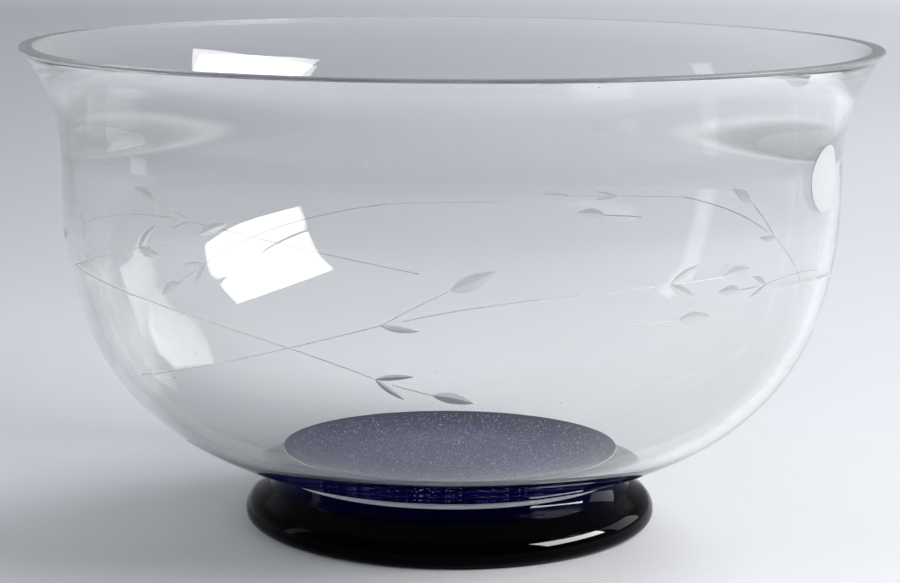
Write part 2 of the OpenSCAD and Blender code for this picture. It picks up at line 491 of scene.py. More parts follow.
def tangent_centre(one, one_gap, two, two_gap):
    """Point at two known distances from two centres, on the right of the way between them."""
    apart = two - one
    along = (one_gap ** 2 - two_gap ** 2 + apart.length_squared) / (2 * apart.length)
    aside = math.sqrt(one_gap ** 2 - along ** 2)
    forward = apart.normalized()
    return one + forward * along + Vector((forward.y, -forward.x)) * aside


def bowl_curves(size):
    """Outer face from the axis to the lip, the flat lip, and the inner face from the axis to the lip."""
    band = size.rim_radius - size.flare_out
    edge = size.lip_edge
    lip_out = Vector((size.rim_radius - edge, size.height - edge))
    lip_in = Vector((size.rim_radius - size.lip_width + edge, size.height - edge))

    def flare_centre(across, gap, lip):
        """Centre of a flare at a known radius and a known distance from the middle of a lip's edge."""
        return Vector((across, lip.y - math.sqrt(gap ** 2 - (across - lip.x) ** 2)))

    flare = flare_centre(band + size.flare_radius, size.flare_radius + edge, lip_out)
    flare_in_c = band - size.wall + size.flare_in_radius
    flare_in = flare_centre(flare_in_c, size.flare_in_radius - edge, lip_in)
    out_end = math.atan2(lip_out.y - flare.y, lip_out.x - flare.x)
    in_end = math.atan2(lip_in.y - flare_in.y, lip_in.x - flare_in.x)
    side = Vector((band - size.side_radius, flare.y - size.band_height))
    base = Vector((size.base_flat, size.base_height + size.base_radius))
    shoulder = tangent_centre(side, size.side_radius - size.shoulder_radius,
                              base, size.base_radius - size.shoulder_radius)
    turn = math.atan2(side.y - shoulder.y, shoulder.x - side.x)

    def growing_flare(lean, count=16):
        """Short arcs from the upright band to the lip's inner edge, each tighter than the one before."""
        end = flare_in - Vector((math.cos(lean), -math.sin(lean))) * size.flare_in_radius
        leans = [lean * (i / count) ** FLARE_EASE for i in range(count + 1)]
        pairs = list(zip(leans, leans[1:]))
        radii = [1 / (two - one) for one, two in pairs]
        across = sum(r * (math.cos(one) - math.cos(two)) for r, (one, two) in zip(radii, pairs))
        rise = sum(r * (math.sin(two) - math.sin(one)) for r, (one, two) in zip(radii, pairs))
        scale = (end.x - band + size.wall) / across
        spot = Vector((band - size.wall, end.y - rise * scale))
        arcs = []
        for r, (one, two) in zip(radii, pairs):
            centre = spot + Vector((math.cos(one), -math.sin(one))) * (r * scale)
            arcs.append((centre, r * scale, math.pi - one, math.pi - two))
            spot = centre - Vector((math.cos(two), -math.sin(two))) * (r * scale)
        return arcs

    def wall(flat, radius, bottom, inset, flares):
        """One face of the wall, from the axis up to its flare."""
        middle = bottom + radius
        join = math.atan2(shoulder.y - middle, shoulder.x - flat)
        curve = Curve()
        curve.line((0.0, bottom), (flat, bottom), (0.0, -1.0))
        curve.arc((flat, middle), radius, -QUARTER, join)
        curve.arc(shoulder, size.shoulder_radius - inset, join, -turn)
        curve.arc(side, size.side_radius - inset, -turn, 0.0)
        curve.line((band - inset, side.y), (band - inset, flares[0][0].y), (1.0, 0.0))
        for top in flares:
            curve.arc(*top, -1.0)
        return curve

    outer = wall(size.base_flat, size.base_radius, size.base_height, 0.0,
                 [(flare, size.flare_radius, math.pi, out_end)])
    gap = size.floor_radius - size.shoulder_radius + size.wall
    floor_drop = math.sqrt(gap ** 2 - (shoulder.x - size.floor_flat) ** 2)
    floor_z = shoulder.y + floor_drop - size.floor_radius
    inner = wall(size.floor_flat, size.floor_radius, floor_z, size.wall, growing_flare(math.pi - in_end))
    lip = Curve()
    lip.arc(lip_out, edge, out_end - math.pi, QUARTER)
    lip.line((lip_out.x, size.height), (lip_in.x, size.height), (0.0, 1.0))
    lip.arc(lip_in, edge, QUARTER, in_end)
    return outer, lip, inner


def backwards(lists):
    """The same section points from the other end, facing the other way."""
    return [[(r, z, -nr, -nz) for r, z, nr, nz in points[::-1]] for points in lists[::-1]]


def bezier(points, share):
    """Point on a curve with four control points."""
    back = 1.0 - share
    weights = (back ** 3, 3 * back * back * share, 3 * back * share * share, share ** 3)
    return Vector([sum(w * p[axis] for w, p in zip(weights, points)) for axis in (0, 1)])


class Stem:
    """A thin V cut along a curve, tapered at its ends"""

    def __init__(self, points, width, depth, count=26):
        self.points = [bezier(points, i / count) for i in range(count + 1)]
        self.width, self.depth = width, depth
        self.edges = []
        left, right = [], []
        for i, point in enumerate(self.points):
            along = self.points[min(i + 1, count)] - self.points[max(i - 1, 0)]
            across = Vector((-along.y, along.x)).normalized()
            left.append(point + across * self.half(i / count))
            right.append(point - across * self.half(i / count))
        for run in (left, right, self.points):
            self.edges.extend(zip(run, run[1:]))

    def half(self, share):
        """Half width at a share of the length, which falls to two thirds at both ends."""
        return self.width / 2 * (0.35 + 0.65 * math.sin(math.pi * (0.08 + 0.84 * share)) ** 0.5)

    def cut(self, spot):
        """Depth of the cut at a point, and how far outside the cut the point is."""
        best, share_there = None, 0.0
        last = len(self.points) - 1
        for i in range(last):
            start, run = self.points[i], self.points[i + 1] - self.points[i]
            share = max(0.0, min(1.0, (spot - start).dot(run) / run.length_squared))
            away = (spot - start - run * share).length
            if best is None or away < best:
                best, share_there = away, (i + share) / last
        half = self.half(share_there)
        return self.depth * max(0.0, 1.0 - best / half), best - half


class Leaf:
    """A willow leaf of two slopes that meet along a midrib"""

    def __init__(self, base, along, length, width, depth, bend, count=14):
        self.base, self.along = base, along.normalized()
        self.across = Vector((-self.along.y, self.along.x))
        self.length, self.width, self.depth, self.bend = length, width, depth, bend
        marks = [i / count for i in range(count + 1)]
        left = [self.place(m, self.half(m)) for m in marks]
        right = [self.place(m, -self.half(m)) for m in marks]
        midrib = [self.place(m, 0.0) for m in marks]
        self.edges = []
        for run in (left, right, midrib):
            self.edges.extend(zip(run, run[1:]))

    def half(self, share):
        """Half width at a share of the length, widest a little nearer the stem and nothing at the tips."""
        return self.width / 2 * math.sin(math.pi * share ** 0.82) ** 0.92 if 0.0 < share < 1.0 else 0.0

    def place(self, share, off):
        """Point at a share of the length and a distance across from the midrib."""
        sway = self.bend * self.length * share * (1.0 - share)
        return self.base + self.along * (self.length * share) + self.across * (off + sway)

    def cut(self, spot):
        """Depth of the cut at a point, and how far outside the cut the point is."""
        step = spot - self.base
        share = step.dot(self.along) / self.length
        inside = max(0.0, min(1.0, share))
        off = abs(step.dot(self.across) - self.bend * self.length * inside * (1.0 - inside))
        half = self.half(share)
        outside = max(off - half, -share * self.length, (share - 1.0) * self.length)
        if half <= 0.0 or off >= half:
            return 0.0, outside
        return self.depth * (2.0 * half / self.width) * (1.0 - off / half), outside


def spray_cuts(size, outer, middle_radius, front):
    """Cuts of one spray on the unrolled face, in millimetres round the bowl and along its side."""
    def flat(point):
        return math.radians(point[0]) * middle_radius, outer.run_at(point[1] * MM) / MM

    lines = {**STEMS, **FRONT_STEMS} if front else STEMS
    runs = {name: [flat(p) for p in points] for name, points in lines.items()}
    stems = [Stem(points, size.stem_width / MM, size.stem_depth / MM) for points in runs.values()]
    leaves = []
    for name, share, turn, length, width in (LEAVES + FRONT_LEAVES) if front else LEAVES:
        points = runs[name]
        base = bezier(points, share)
        near = min(share, 1.0 - STEM_STEP)
        along = bezier(points, near + STEM_STEP) - bezier(points, near)
        along = Matrix.Rotation(math.radians(turn), 2) @ along
        bend = LEAF_SWAY if turn > 0 else -LEAF_SWAY
        leaves.append(Leaf(base, along, size.leaf_length / MM * length, size.leaf_width / MM * width,
                           size.leaf_depth / MM * width ** 0.5, bend))
    return stems + leaves


def unrolled_cell(cuts, half, low, high, per_cell, spacing):
    """Points and triangles of the side's share that holds one spray, laid flat, in millimetres."""
    spots, edges, index = [], [], {}

    def spot(u, v):
        key = (round(u, 4), round(v, 4))
        if key not in index:
            index[key] = len(spots)
            spots.append(Vector((u, v)))
        return index[key]

    across = [-half + 2 * half * k / per_cell for k in range(per_cell + 1)]
    rows = max(2, round((high - low) / spacing))
    up = [low + (high - low) * k / rows for k in range(rows + 1)]
    for run in ([(u, low) for u in across], [(u, high) for u in across],
                [(-half, v) for v in up], [(half, v) for v in up]):
        marks = [spot(*p) for p in run]
        edges.extend(zip(marks, marks[1:]))
    for cut in cuts:
        for start, end in cut.edges:
            pair = (spot(start.x, start.y), spot(end.x, end.y))
            if pair[0] != pair[1]:
                edges.append(pair)
    # Plain points in staggered rows, clear of the cuts
    columns = max(2, round(2 * half / spacing))
    for i in range(1, columns):
        for j in range(1, rows):
            shift = 0.5 if j % 2 else 0.0
            point = Vector((-half + 2 * half * (i - 0.25 + shift) / columns, up[j]))
            if min(cut.cut(point)[1] for cut in cuts) > CUT_CLEARANCE:
                spot(point.x, point.y)
    found, _, triangles, _, _, _ = delaunay_2d_cdt(spots, edges, [], 0, JOIN)
    return found, triangles


class CutSide:
    """Side of the bowl between two rings, unrolled in millimetres into one cell for each spray"""

    def __init__(self, shell, outer, size, runs, rings):
        self.shell, self.outer, self.size, self.rings = shell, outer, size, rings
        self.low, self.high = runs[0] / MM, runs[1] / MM
        self.radius = outer.at((runs[0] + runs[1]) / 2)[0] / MM
        self.per_cell = len(shell.angles) // size.repeats
        self.half = math.pi / size.repeats * self.radius
        # Points on the upright edges of the cells, which two neighbours share
        self.welded = {}

    def angle(self, spot, copy):
        """Direction from the axis of a point of a cell."""
        return self.shell.angles[0] + math.tau / self.size.repeats * (copy + 0.5) + spot.x / self.radius

    def mark(self, spot, depth, copy):
        """Number of the shell's point for a point of a cell, sunk by the depth of its cut."""
        if min(abs(spot.y - self.low), abs(spot.y - self.high)) < ON_EDGE:
            ring = self.rings[0] if abs(spot.y - self.low) < ON_EDGE else self.rings[1]
            column = round((spot.x + self.half) / (2 * self.half) * self.per_cell)
            return ring[(copy * self.per_cell + column) % len(self.shell.angles)]
        key = None
        if abs(abs(spot.x) - self.half) < ON_EDGE:
            key = ((copy + (spot.x > 0)) % self.size.repeats, round(spot.y, 3))
        if key in self.welded:
            return self.welded[key]
        r, z, nr, nz = self.outer.at(spot.y * MM)
        r, z = r - nr * depth * MM, z - nz * depth * MM
        angle = self.angle(spot, copy)
        self.shell.points.append((r * math.cos(angle), r * math.sin(angle), z))
        number = len(self.shell.points) - 1
        if key is not None:
            self.welded[key] = number
        return number

    def facing(self, spot, copy):
        """Normal of the plain side at a point of a cell."""
        _, _, nr, nz = self.outer.at(spot.y * MM)
        angle = self.angle(spot, copy)
        return nr * math.cos(angle), nr * math.sin(angle), nz

    def close(self, copy, clear, leaf, stem):
        """Faces of one cell, in the finish of a leaf or a stem where one is cut, and clear elsewhere."""
        cuts = spray_cuts(self.size, self.outer, self.radius, copy == 0)
        spacing = self.size.spacing / MM
        found, triangles = unrolled_cell(cuts, self.half, self.low, self.high, self.per_cell, spacing)
        marks = [self.mark(spot, max(cut.cut(spot)[0] for cut in cuts), copy) for spot in found]
        for corners in triangles:
            numbers = [marks[c] for c in corners]
            places = [Vector(self.shell.points[number]) for number in numbers]
            square = (places[1] - places[0]).cross(places[2] - places[0])
            if square.length < SLIVER:
                continue
            spots = [found[c] for c in corners]
            middle = sum(spots, Vector((0.0, 0.0))) / len(corners)
            deepest = max(cuts, key=lambda cut: cut.cut(middle)[0])
            if deepest.cut(middle)[0] > CUT_LEAST:
                normals = [square.normalized()] * len(corners)
                self.shell.face(numbers, normals, stem if isinstance(deepest, Stem) else leaf)
            else:
                self.shell.face(numbers, [self.facing(spot, copy) for spot in spots], clear)


def foot_curve(size, bowl):
    """The foot's section from the axis underneath to the middle of its seat, and its run up to the seat."""
    curve = Curve()
    hollow_r = (size.hollow ** 2 + size.hollow_depth ** 2) / (2 * size.hollow_depth)
    spread = math.asin(size.hollow / hollow_r)
    curve.arc((0.0, size.hollow_depth - hollow_r), hollow_r, QUARTER, QUARTER - spread, -1.0)
    low_c = size.radius - size.edge_low
    top_c = size.radius - size.edge_top
    curve.line((size.hollow, 0.0), (low_c, 0.0), (0.0, -1.0))
    curve.arc((low_c, size.edge_low), size.edge_low, -QUARTER, 0.0)
    curve.arc((top_c, size.edge_low), size.edge_top, 0.0, QUARTER - size.top_slope)
    slope = size.top_slope
    top = (top_c + size.edge_top * math.sin(slope), size.edge_low + size.edge_top * math.cos(slope))
    crease = (size.crease, top[1] + (top[0] - size.crease) * math.tan(slope))
    curve.line(top, crease, (math.sin(slope), math.cos(slope)))
    reach = size.neck - bowl.base_flat
    seat_low = bowl.base_height - size.seat_gap
    seat_middle = seat_low + bowl.base_radius
    neck_z = seat_middle - math.sqrt(bowl.base_radius ** 2 - reach ** 2)
    run, rise = size.crease - size.neck, neck_z - crease[1]
    chord = math.hypot(run, rise)
    out = math.sqrt(size.cove ** 2 - chord ** 2 / 4) / chord
    centre = ((size.neck + size.crease) / 2 + out * rise, (neck_z + crease[1]) / 2 + out * run)
    start = math.atan2(crease[1] - centre[1], crease[0] - centre[0]) % math.tau
    end = math.atan2(neck_z - centre[1], size.neck - centre[0]) % math.tau
    curve.arc(centre, size.cove, start, end, -1.0)
    neck_run = curve.length
    seat_lean = math.asin(reach / bowl.base_radius)
    curve.arc((bowl.base_flat, seat_middle), bowl.base_radius, seat_lean - QUARTER, -QUARTER, -1.0)
    curve.line((bowl.base_flat, seat_low), (0.0, seat_low), (0.0, 1.0))
    return curve, neck_run


def joined(tree, operation, one, two):
    """Output of a math node that works on two outputs."""
    node = tree.nodes.new("ShaderNodeMath")
    node.operation = operation
    tree.links.new(one, node.inputs[0])
    tree.links.new(two, node.inputs[1])
    return node.outputs["Value"]


def place_parts(tree, space="Object"):
    """The three parts of a point's place."""
    place = tree.nodes.new("ShaderNodeTexCoord")
    split = tree.nodes.new("ShaderNodeSeparateXYZ")
    tree.links.new(place.outputs[space], split.inputs["Vector"])
    return split.outputs


def node_group(name, inputs, output):
    """Empty shader node group with named sockets, its inputs and the socket of its output."""
    group = bpy.data.node_groups.new(name, "ShaderNodeTree")
    for label, default in inputs.items():
        socket = group.interface.new_socket(label, in_out="INPUT", socket_type="NodeSocketFloat")
        socket.default_value = default
    group.interface.new_socket(output, in_out="OUTPUT", socket_type="NodeSocketFloat")
    given, result = group.nodes.new("NodeGroupInput"), group.nodes.new("NodeGroupOutput")
    return group, given.outputs, result.inputs[output]


def dust_group():
    """Sparse fine specks, as seeds and dust on glass."""
    group, given, mask = node_group("fine_specks", {"Scale": 400.0, "Size": 0.2, "Share": 0.3}, "Mask")
    nodes, links = group.nodes, group.links
    place = nodes.new("ShaderNodeTexCoord")
    cells = nodes.new("ShaderNodeTexVoronoi")
    links.new(place.outputs["Object"], cells.inputs["Vector"])
    links.new(given["Scale"], cells.inputs["Scale"])
    split = nodes.new("ShaderNodeSeparateColor")
    links.new(cells.outputs["Color"], split.inputs["Color"])
    near = joined(group, "LESS_THAN", cells.outputs["Distance"], given["Size"])
    few = joined(group, "LESS_THAN", split.outputs["Red"], given["Share"])
    links.new(joined(group, "MULTIPLY", near, few), mask)
    return group


def ripple_group():
    """Slow waves that hand work leaves in glass."""
    group, given, height = node_group("hand_ripple", {"Scale": 14.0, "Stretch": 0.35}, "Height")
    nodes, links = group.nodes, group.links
    place = place_parts(group)
    squeezed = nodes.new("ShaderNodeCombineXYZ")
    links.new(place["X"], squeezed.inputs["X"])
    links.new(place["Y"], squeezed.inputs["Y"])
    links.new(joined(group, "MULTIPLY", place["Z"], given["Stretch"]), squeezed.inputs["Z"])
    waves = nodes.new("ShaderNodeTexNoise")
    waves.inputs["Detail"].default_value = 1.0
    links.new(squeezed.outputs["Vector"], waves.inputs["Vector"])
    links.new(given["Scale"], waves.inputs["Scale"])
    links.new(waves.outputs["Fac"], height)
    return group


def glow_group():
    """Mask that grows with height, for the painted glow of light coming through glass near its top."""
    group, given, mask = node_group("rising_glow", {"Low": 0.0, "High": 1.0}, "Mask")
    ramp = group.nodes.new("ShaderNodeMapRange")
    ramp.interpolation_type = "SMOOTHSTEP"
    group.links.new(place_parts(group)["Z"], ramp.inputs["Value"])
    group.links.new(given["Low"], ramp.inputs["From Min"])
    group.links.new(given["High"], ramp.inputs["From Max"])
    group.links.new(ramp.outputs["Result"], mask)
    return group


def shared_group(name, maker):
    """A node group that is built once and then found again."""
    return bpy.data.node_groups.get(name) or maker()


def shade(colour, share):
    """The same colour, darker or lighter."""
    return tuple(min(1.0, c * share) for c in colour[:3]) + (1.0,)


class Finish:
    """A node material, with short ways to place its nodes and join them"""

    def __init__(self, name, **values):
        self.made = bpy.data.materials.new(name)
        self.made.use_nodes = True
        self.nodes, self.links = self.made.node_tree.nodes, self.made.node_tree.links
        self.sockets = self.nodes["Principled BSDF"].inputs
        for label, value in values.items():
            self.sockets[label.replace("_", " ")].default_value = value

    def feed(self, label, source):
        """Joins an output to one of the shader's sockets."""
        self.links.new(source, self.sockets[label])

    def group(self, group, output, **values):
        """Places a node group with its own values and gives one of its outputs."""
        node = self.nodes.new("ShaderNodeGroup")
        node.node_tree = group
        for label, value in values.items():
            node.inputs[label].default_value = value
        return node.outputs[output]

    def noise(self, scale, detail=2.0):
        """Cloudy mask over the piece."""
        place = self.nodes.new("ShaderNodeTexCoord")
        node = self.nodes.new("ShaderNodeTexNoise")
        node.inputs["Scale"].default_value = scale
        node.inputs["Detail"].default_value = detail
        self.links.new(place.outputs["Object"], node.inputs["Vector"])
        return node.outputs["Fac"]

    def away(self, near, far):
        """Mask that grows smoothly between two distances from the upright axis."""
        place = self.nodes.new("ShaderNodeTexCoord")
        flat = self.nodes.new("ShaderNodeVectorMath")
        flat.operation = "MULTIPLY"
        flat.inputs[1].default_value = (1.0, 1.0, 0.0)
        self.links.new(place.outputs["Object"], flat.inputs[0])
        distance = self.nodes.new("ShaderNodeVectorMath")
        distance.operation = "LENGTH"
        self.links.new(flat.outputs["Vector"], distance.inputs[0])
        ramp = self.nodes.new("ShaderNodeMapRange")
        ramp.interpolation_type = "SMOOTHSTEP"
        ramp.inputs["From Min"].default_value = near
        ramp.inputs["From Max"].default_value = far
        self.links.new(distance.outputs["Value"], ramp.inputs["Value"])
        return ramp.outputs["Result"]

    def scaled(self, mask, low, high):
        """Carries a mask from 0 and 1 to two values."""
        node = self.nodes.new("ShaderNodeMapRange")
        node.inputs["To Min"].default_value = low
        node.inputs["To Max"].default_value = high
        self.links.new(mask, node.inputs["Value"])
        return node.outputs["Result"]

    def mixed(self, mask, one, two):
        """Colour that goes with a mask from one, a colour or an output, to another colour."""
        node = self.nodes.new("ShaderNodeMix")
        node.data_type = "RGBA"
        if isinstance(one, bpy.types.NodeSocket):
            self.links.new(one, node.inputs["A"])
        else:
            node.inputs["A"].default_value = one
        node.inputs["B"].default_value = two
        self.links.new(mask, node.inputs["Factor"])
        return node.outputs["Result"]

    def raised(self, height, strength, distance):
        """Raises the surface by a height."""
        node = self.nodes.new("ShaderNodeBump")
        node.inputs["Strength"].default_value = strength
        node.inputs["Distance"].default_value = distance
        self.links.new(height, node.inputs["Height"])
        self.feed("Normal", node.outputs["Normal"])


def clear_glass(look, dust, ripple):
    """Polished clear glass with slow waves and a few specks."""
    finish = Finish("clear_glass", IOR=CLEAR_IOR, Transmission_Weight=1.0)
    specks = finish.group(dust, "Mask", Scale=520.0, Size=0.13, Share=0.006)
    finish.feed("Base Color", finish.mixed(specks, tuple(look.clear), shade(look.clear, 0.8)))
    finish.feed("Roughness", finish.scaled(specks, low=0.0, high=0.3))
    finish.raised(finish.group(ripple, "Height", Scale=11.0, Stretch=0.3), strength=0.12, distance=1.2 * MM)
    return finish.made


def lip_glass(look):
    """Ground lip that was only half polished."""
    finish = Finish("lip_glass", IOR=CLEAR_IOR, Transmission_Weight=0.7)
    marks = finish.noise(scale=900.0)
    finish.feed("Base Color", finish.mixed(marks, tuple(look.lip), tuple(look.cut)))
    finish.feed("Roughness", finish.scaled(marks, low=0.25, high=0.4))
    return finish.made


def cut_glass(look, name, through):
    """Grey unpolished wheel cut with fine wheel marks, which lets a share of the light through."""
    finish = Finish(name, IOR=CLEAR_IOR, Transmission_Weight=through)
    grit = finish.noise(scale=2600.0)
    finish.feed("Base Color", finish.mixed(grit, tuple(look.cut), shade(look.cut, 1.25)))
    finish.feed("Roughness", finish.scaled(grit, low=0.32, high=0.62))
    finish.raised(grit, strength=0.3, distance=0.06 * MM)
    return finish.made


def painted_lit_seat(look, neck):
    """Foot's blue seen through the floor at the fused seat, painted light with painted shade at its edge.
    """
    finish = Finish("painted_lit_seat", Specular_IOR_Level=0.0, Roughness=0.7)
    cloud = finish.noise(scale=36.0, detail=3.0)
    blue = finish.mixed(cloud, shade(look.seat, 0.7), shade(look.seat, 1.3))
    # Painted shade: the seat's blue darkens towards the neck
    edge = tuple(c * share for c, share in zip(look.seat, SEAT_SHADE_SHARES)) + (1.0,)
    finish.feed("Base Color", finish.mixed(finish.away(SEAT_SHADE_START, neck), blue, edge))
    return finish.made


def seed_painted_glint(look):
    """Tiny bubbles, no two quite alike, whose glow is a painted glint."""
    # The emission paints the glints of light on the bubbles
    finish = Finish("seed_painted_glint", Emission_Strength=1.1)
    shades = finish.noise(scale=700.0)
    colour = finish.mixed(shades, shade(look.seed, 0.6), tuple(look.seed))
    finish.feed("Base Color", colour)
    finish.feed("Emission Color", colour)
    finish.feed("Roughness", finish.scaled(shades, low=0.3, high=0.6))
    return finish.made


def blue_glass(look, dust, ripple, glow):
    """Cobalt glass, so dark that it looks black, with painted blue glow where light comes through the neck.
    """
    finish = Finish("blue_glass", IOR=1.5, Specular_IOR_Level=0.04)
    # Painted glow: the neck's colour goes from the dark blue to the glow with height
    rise = finish.group(glow, "Mask", Low=GLOW_LOW, High=GLOW_HIGH)
    finish.feed("Base Color", finish.mixed(rise, tuple(look.blue), tuple(look.glow)))
    specks = finish.group(dust, "Mask", Scale=480.0, Size=0.14, Share=0.04)
    finish.feed("Roughness", finish.scaled(specks, low=0.02, high=0.3))
    finish.raised(finish.group(ripple, "Height", Scale=16.0, Stretch=1.0), strength=0.15, distance=1.2 * MM)
    return finish.made


def painted_seam_light(look):
    """Pale band of painted light along the seam where the bowl is fused to the foot."""
    finish = Finish("painted_seam_light")
    # Random mottle in the painted band of light
    bubbles = finish.noise(scale=240.0)
    finish.feed("Base Color", finish.mixed(bubbles, shade(look.seam, 0.85), tuple(look.seam)))
    finish.feed("Roughness", finish.scaled(bubbles, low=0.2, high=0.35))
    return finish.made


def label_paper(look):
    """Bare white label paper with a faint fibre."""
    finish = Finish("label_paper")
    fibre = finish.noise(scale=1500.0, detail=3.0)
    finish.feed("Base Color", finish.mixed(fibre, shade(look.paper, 0.93), tuple(look.paper)))
    finish.feed("Roughness", finish.scaled(fibre, low=0.35, high=0.55))
    finish.raised(fibre, strength=0.15, distance=0.05 * MM)
    return finish.made


def table_top(colour, glow):
    """Pale matt table with hardly any grain, as bright as the room where it runs into the wall."""
    finish = Finish("table_top", Specular_IOR_Level=0.3, Emission_Strength=glow)
    grain = finish.noise(scale=40.0)
    finish.feed("Base Color", finish.mixed(grain, shade(colour, 0.97), tuple(colour)))
    finish.feed("Roughness", finish.scaled(grain, low=0.5, high=0.6))
    black, white = (0.0, 0.0, 0.0, 1.0), (1.0, 1.0, 1.0, 1.0)
    finish.feed("Emission Color", finish.mixed(finish.away(*FAR_FADE), black, white))
    return finish.made


class BOWL_OT_make_bowl(bpy.types.Operator):
    """Turn the clear bowl and cut the leaf sprays into its side"""

    bl_idname = "footed_bowl.make_bowl"
    bl_label = "Make Bowl"

    def execute(self, context):
        scene = context.scene
        size, spray, look = scene.bowl_sizes, scene.spray_sizes, scene.glass_look
        outer, lip, inner = bowl_curves(size)
        start = -QUARTER - math.pi / spray.repeats + spray.turn
        shell = Shell(size.segments, start)
        low, high = outer.run_at(spray.low), outer.run_at(spray.high)
        neck = scene.foot_sizes.neck
        seat = size.base_flat + size.base_radius * math.asin((neck - size.base_flat) / size.base_radius)
        clear, seated, leaf, ground, stem = range(5)
        _, ring = shell.turned(outer.stations(BOWL_STEP, 0.0, seat), seated)
        _, low_ring = shell.turned(outer.stations(BOWL_STEP, seat, low), clear, ring)
        high_ring, ring = shell.turned(outer.stations(BOWL_STEP, high), clear)
        _, ring = shell.turned(lip.stations(LIP_STEP), ground, ring)
        shell.turned(backwards(inner.stations(BOWL_STEP)), clear, ring)
        side = CutSide(shell, outer, spray, (low, high), (low_ring, high_ring))
        for copy in range(spray.repeats):
            side.close(copy, clear, leaf, stem)
        dust = shared_group("fine_specks", dust_group)
        ripple = shared_group("hand_ripple", ripple_group)
        finishes = [
            clear_glass(look, dust, ripple),
            painted_lit_seat(look, neck),
            cut_glass(look, "leaf_glass", LEAF_THROUGH),
            lip_glass(look),
            cut_glass(look, "stem_glass", STEM_THROUGH),
        ]
        bowl = shell.build("clear_bowl", finishes)
        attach(bowl, "root")
        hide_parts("bowl")
        return {"FINISHED"}


class BOWL_OT_make_seeds(bpy.types.Operator):
    """Scatter the tiny bubbles that lie in the floor, over the foot"""

    bl_idname = "footed_bowl.make_seeds"
    bl_label = "Make Seeds"

    def execute(self, context):
        scene = context.scene
        size, bowl, neck = scene.seed_sizes, scene.bowl_sizes, scene.foot_sizes.neck
        outer = bowl_curves(bowl)[0]
        chance = random.Random(RANDOM_START)
        points, faces = [], []
        corners = [Vector(c) for c in ((1, 0, 0), (0, 1, 0), (-1, 0, 0), (0, -1, 0), (0, 0, 1), (0, 0, -1))]
        sides = [(i, (i + 1) % 4, 4) for i in range(4)] + [((i + 1) % 4, i, 5) for i in range(4)]
        for _ in range(size.count):
            radius = size.smallest + (size.largest - size.smallest) * chance.random() ** 2
            spread = neck * SEED_REACH * math.sqrt(chance.random())
            angle = math.tau * chance.random()
            r, z, nr, nz = outer.at(spread)
            lift = radius * SEED_LIFT + size.depth * chance.random() ** 2
            r, z = r - nr * lift, z - nz * lift
            middle = Vector((r * math.cos(angle), r * math.sin(angle), z))
            first = len(points)
            points.extend(middle + corner * radius for corner in corners)
            faces.extend([first + c for c in side] for side in sides)
        mesh = bpy.data.meshes.new("floor_seeds")
        mesh.from_pydata(points, [], faces)
        mesh.polygons.foreach_set("use_smooth", [True] * len(faces))
        mesh.materials.append(seed_painted_glint(scene.glass_look))
        seeds = bpy.data.objects.new("floor_seeds", mesh)
        scene.collection.objects.link(seeds)
        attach(seeds, "root")
        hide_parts("bowl")
        return {"FINISHED"}


class BOWL_OT_make_foot(bpy.types.Operator):
    """Turn the dark blue foot under the bowl"""

    bl_idname = "footed_bowl.make_foot"
    bl_label = "Make Foot"

    def execute(self, context):
        scene = context.scene
        shell = Shell(scene.bowl_sizes.segments, 0.0)
        size, look = scene.foot_sizes, scene.glass_look
        curve, neck_run = foot_curve(size, scene.bowl_sizes)
        blue, seam = range(2)
        _, ring = shell.turned(curve.stations(FOOT_STEP, 0.0, neck_run - size.seam), blue)
        # Band at the top of the neck in the seam's painted light
        _, ring = shell.turned(curve.stations(FOOT_STEP, neck_run - size.seam, neck_run), seam, ring)
        shell.turned(curve.stations(FOOT_STEP, neck_run), blue, ring)
        dust = shared_group("fine_specks", dust_group)
        ripple = shared_group("hand_ripple", ripple_group)
        glow = shared_group("rising_glow", glow_group)
        foot = shell.build("blue_foot", [blue_glass(look, dust, ripple, glow), painted_seam_light(look)])
        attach(foot, "root")
        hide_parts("foot")
        return {"FINISHED"}


class BOWL_OT_finish_label(bpy.types.Operator):
    """Give the paper label its finish"""

    bl_idname = "footed_bowl.finish_label"
    bl_label = "Finish Label"

    def execute(self, context):
        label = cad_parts["paper_label"]
        label.data.materials.clear()
        label.data.materials.append(label_paper(context.scene.glass_look))
        return {"FINISHED"}


def soft_light(name, power, colour):
    """Rectangular softbox from the list of lights, turned to the point that it faces."""
    place, target, width, height = LIGHTS[name]
    light = bpy.data.lights.new(name, "AREA")
    light.shape = "RECTANGLE"
    light.size, light.size_y = width, height
    light.energy = power
    light.color = colour
    box = bpy.data.objects.new(name, light)
    box.location = place
    box.rotation_euler = (Vector(target) - Vector(place)).to_track_quat("-Z", "Y").to_euler()
    bpy.context.scene.collection.objects.link(box)
    return box


def set_lights(look):
    """Softbox on the right, lights for the table alone, and lights that the glass only mirrors."""
    key = soft_light("key_softbox", look.key_power, WARM)
    key.data.spread = KEY_SPREAD
    far = soft_light("far_table", look.far_power, COOL)
    left = soft_light("left_table", look.left_power, COOL)
    rear = soft_light("rear_table", look.rear_power, COOL)
    for light in (far, left, rear):
        light.visible_glossy = False
        light.visible_transmission = False
    strip = soft_light("left_strip", look.strip_power, COOL)
    glint = soft_light("foot_glint", look.glint_power, WARM)
    sheen = soft_light("foot_sheen", look.sheen_power, COOL)
    for light in (strip, glint, sheen):
        light.visible_diffuse = False
    dark_pieces = bpy.data.collections.new("dark_pieces")
    dark_pieces.objects.link(bpy.data.objects["blue_foot"])
    for light in (glint, sheen):
        light.light_linking.receiver_collection = dark_pieces


